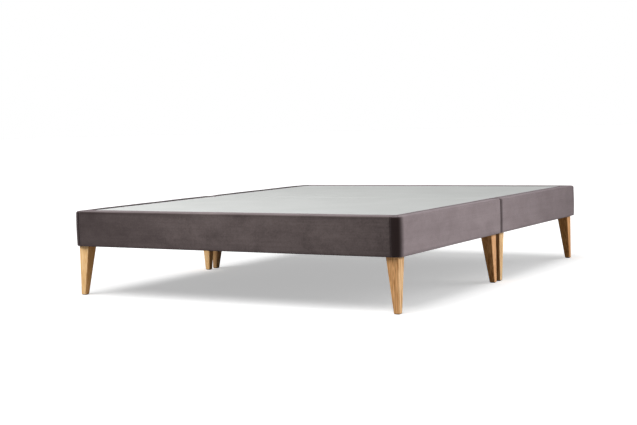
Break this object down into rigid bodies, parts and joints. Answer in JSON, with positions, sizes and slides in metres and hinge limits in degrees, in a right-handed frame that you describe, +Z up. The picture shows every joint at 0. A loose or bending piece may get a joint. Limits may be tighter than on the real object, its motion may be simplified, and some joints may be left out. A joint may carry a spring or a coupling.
{
  "type": "divan bed base",
  "caption": "Shallow upholstered bed base in two halves on tapered wooden legs, locked together by swivel hooks, with a flat padded top for a mattress.",
  "frame": {"origin": "on the floor, under the middle of the whole base", "axes": "+Z up, +Y towards the head end, +X towards the right side seen from the foot end"},
  "size_m": [1.52, 1.88, 0.351],
  "materials": {
    "velvet": "taupe velvet, short pile with a soft sheen",
    "top_cloth": "pale grey-green woven cloth",
    "lining": "plain grey lining cloth",
    "dust_cover": "black spunbonded cloth",
    "padding": "off-white fibre padding",
    "deck_board": "hardboard",
    "frame_wood": "planed pine",
    "leg_wood": "oiled light hardwood",
    "glide": "moulded plastic",
    "steel": "zinc plated"
  },
  "bodies": {
    "base": {"foot_deck_board": "deck_board", "foot_dust_cover": "dust_cover", "foot_end_border": "velvet", "foot_joist_1": "frame_wood", "foot_joist_2": "frame_wood", "foot_joist_3": "frame_wood", "foot_left_border": "velvet", "foot_left_outer_block": "frame_wood", "foot_left_outer_leg": "leg_wood", "foot_left_rail": "frame_wood", "foot_left_split_block": "frame_wood", "foot_left_split_leg": "leg_wood", "foot_outer_rail": "frame_wood", "foot_right_border": "velvet", "foot_right_outer_block": "frame_wood", "foot_right_outer_leg": "leg_wood", "foot_right_rail": "frame_wood", "foot_right_split_block": "frame_wood", "foot_right_split_leg": "leg_wood", "foot_side_wadding": "padding", "foot_split_lining": "lining", "foot_split_rail": "frame_wood", "foot_top_cloth": "top_cloth", "foot_top_pad": "padding", "head_deck_board": "deck_board", "head_dust_cover": "dust_cover", "head_end_border": "velvet", "head_joist_1": "frame_wood", "head_joist_2": "frame_wood", "head_joist_3": "frame_wood", "head_left_border": "velvet", "head_left_outer_block": "frame_wood", "head_left_outer_leg": "leg_wood", "head_left_rail": "frame_wood", "head_left_split_block": "frame_wood", "head_left_split_leg": "leg_wood", "head_outer_rail": "frame_wood", "head_right_border": "velvet", "head_right_outer_block": "frame_wood", "head_right_outer_leg": "leg_wood", "head_right_rail": "frame_wood", "head_right_split_block": "frame_wood", "head_right_split_leg": "leg_wood", "head_side_wadding": "padding", "head_split_lining": "lining", "head_split_rail": "frame_wood", "head_top_cloth": "top_cloth", "head_top_pad": "padding", "headboard_nuts": "steel", "hook_pivot_screws": "steel", "hook_studs": "steel", "leg_bolts": "steel", "leg_glides": "glide", "leg_inserts": "steel"},
    "left_hook": {"left_link_hook": "steel"},
    "right_hook": {"right_link_hook": "steel"}
  },
  "joints": [
    {"name": "left_hook_swing", "type": "hinge", "parent": "base", "child": "left_hook", "pos_m": [-0.65, -0.062, 0.2042], "axis": [0, 0, -1], "range_deg": [0, 180]},
    {"name": "right_hook_swing", "type": "hinge", "parent": "base", "child": "right_hook", "pos_m": [0.65, -0.062, 0.2042], "axis": [0, 0, 1], "range_deg": [0, 180]}
  ]
}
